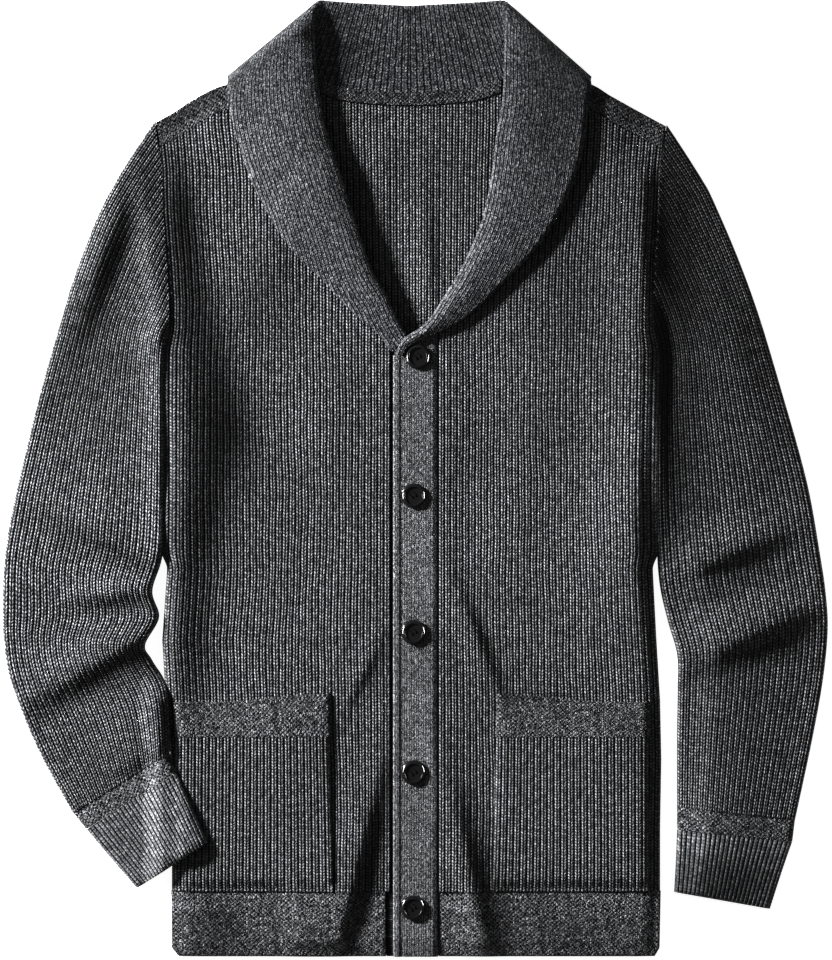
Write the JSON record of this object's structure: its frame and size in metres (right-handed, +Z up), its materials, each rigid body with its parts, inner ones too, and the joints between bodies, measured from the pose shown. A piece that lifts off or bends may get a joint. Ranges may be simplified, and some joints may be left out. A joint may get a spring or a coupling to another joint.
{
  "type": "long-sleeved shawl-collar cardigan",
  "caption": "Ribbed knitted cardigan with a shawl collar, buttoned front and patch pockets, buttoned up and lying flat with its front up.",
  "frame": {"origin": "centre of the garment's outline, on the surface it lies on", "axes": "+X towards the wearer's left, +Y from the hem to the collar, +Z up from the surface"},
  "size_m": [0.6856, 0.7932, 0.0199],
  "materials": {
    "ribbed_knit": "matte charcoal melange wool in half-cardigan rib",
    "moss_knit": "matte charcoal melange wool in moss stitch",
    "fine_rib_knit": "matte grey melange wool in fine rib",
    "button_gloss": "glossy black with a raised rim"
  },
  "bodies": {
    "root": {"back_panel": "ribbed_knit", "right_front": "ribbed_knit", "left_front": "ribbed_knit", "back_hem": "moss_knit", "right_front_hem": "moss_knit", "left_front_hem": "moss_knit", "right_shoulder_strip": "moss_knit", "left_shoulder_strip": "moss_knit", "back_neck_strip": "moss_knit", "right_sleeve": "ribbed_knit", "left_sleeve": "ribbed_knit", "right_sleeve_strip": "moss_knit", "left_sleeve_strip": "moss_knit", "right_cuff": "ribbed_knit", "left_cuff": "ribbed_knit", "collar": "fine_rib_knit", "over_band": "fine_rib_knit", "under_band": "fine_rib_knit", "right_pocket": "ribbed_knit", "left_pocket": "ribbed_knit", "right_pocket_welt": "moss_knit", "left_pocket_welt": "moss_knit", "button_1": "button_gloss", "button_2": "button_gloss", "button_3": "button_gloss", "button_4": "button_gloss", "button_5": "button_gloss"}
  },
  "joints": []
}
